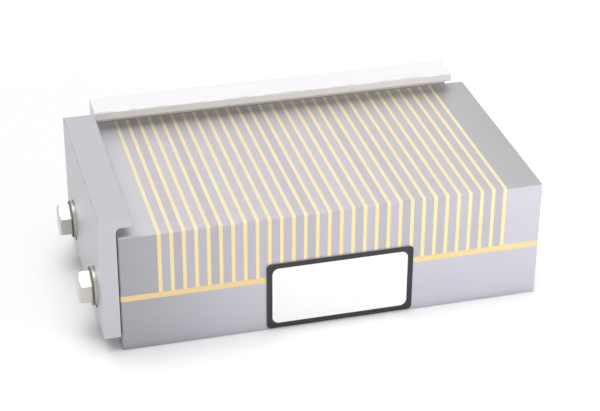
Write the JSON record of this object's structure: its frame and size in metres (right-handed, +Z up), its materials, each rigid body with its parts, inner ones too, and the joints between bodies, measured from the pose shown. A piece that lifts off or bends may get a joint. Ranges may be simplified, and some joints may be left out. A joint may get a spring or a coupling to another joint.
{
  "type": "magnetic chuck",
  "caption": "Rectangular fine-pole permanent magnetic chuck with laminated steel and brass work face, hex-key switch and two slotted angle fences.",
  "frame": {"origin": "centre of the chuck body's underside, on the plane that it stands on", "axes": "+X along the length towards the end with the key socket, +Y from the labelled front to the rear fence, +Z up out of the work face"},
  "size_m": [0.1923, 0.1149, 0.0615],
  "materials": {
    "ground_steel": "surface-ground steel",
    "fence_steel": "ground steel bar",
    "brass": "brazed brass, ground flush",
    "bronze": "turned bearing bronze",
    "cover_steel": "ground steel plate",
    "plated_steel": "bright zinc-plated steel",
    "black_steel": "black oxide steel",
    "rubber": "nitrile rubber",
    "tray_aluminium": "milled aluminium",
    "flux_steel": "soft iron",
    "magnet": "sintered magnet",
    "shaft_steel": "turned and ground steel",
    "label": "printed plate, bare white panel with a black border"
  },
  "bodies": {
    "chuck": {"base_housing": "ground_steel", "brass_band": "brass", "left_end_block": "ground_steel", "right_end_block": "ground_steel", "pole_plates": "ground_steel", "brass_strips": "brass", "bottom_cover": "cover_steel", "cover_gasket": "rubber", "cover_screws": "black_steel", "slide_rails": "bronze", "rail_screws": "black_steel", "drive_flange": "cover_steel", "flange_screws": "black_steel", "drive_bush": "bronze", "shaft_seal": "rubber", "thrust_washer": "bronze", "inner_bearing": "bronze", "bearing_screws": "black_steel", "end_fence_bolts": "plated_steel", "end_fence_washers": "plated_steel", "rear_fence_bolts": "plated_steel", "rear_fence_washers": "plated_steel", "label_plate": "label"},
    "magnet_pack": {"pack_tray": "tray_aluminium", "flux_bars": "flux_steel", "magnet_bars": "magnet", "stack_clamp": "bronze", "stack_screws": "black_steel", "follower_pin": "shaft_steel", "follower_roller": "shaft_steel"},
    "drive": {"drive_shaft": "shaft_steel", "cam_drum": "shaft_steel", "drum_pin": "shaft_steel", "retaining_ring": "black_steel"},
    "end_fence": {"end_fence": "fence_steel"},
    "rear_fence": {"rear_fence": "fence_steel"}
  },
  "joints": [
    {"name": "key_turn", "type": "hinge", "parent": "chuck", "child": "drive", "pos_m": [0.08, 0, 0.0135], "axis": [-1, 0, 0], "range_deg": [0, 180]},
    {"name": "pack_slide", "type": "slide", "parent": "chuck", "child": "magnet_pack", "axis": [1, 0, 0], "range_m": [0, 0.0025]},
    {"name": "end_fence_slide", "type": "slide", "parent": "chuck", "child": "end_fence", "axis": [0, 0, 1], "range_m": [-0.0041, 0.0055]},
    {"name": "rear_fence_slide", "type": "slide", "parent": "chuck", "child": "rear_fence", "axis": [0, 0, 1], "range_m": [-0.0041, 0.0055]}
  ],
  "couplings": [
    {"joint": "key_turn", "follows": "pack_slide", "rad_per_m": 1256.6}
  ]
}
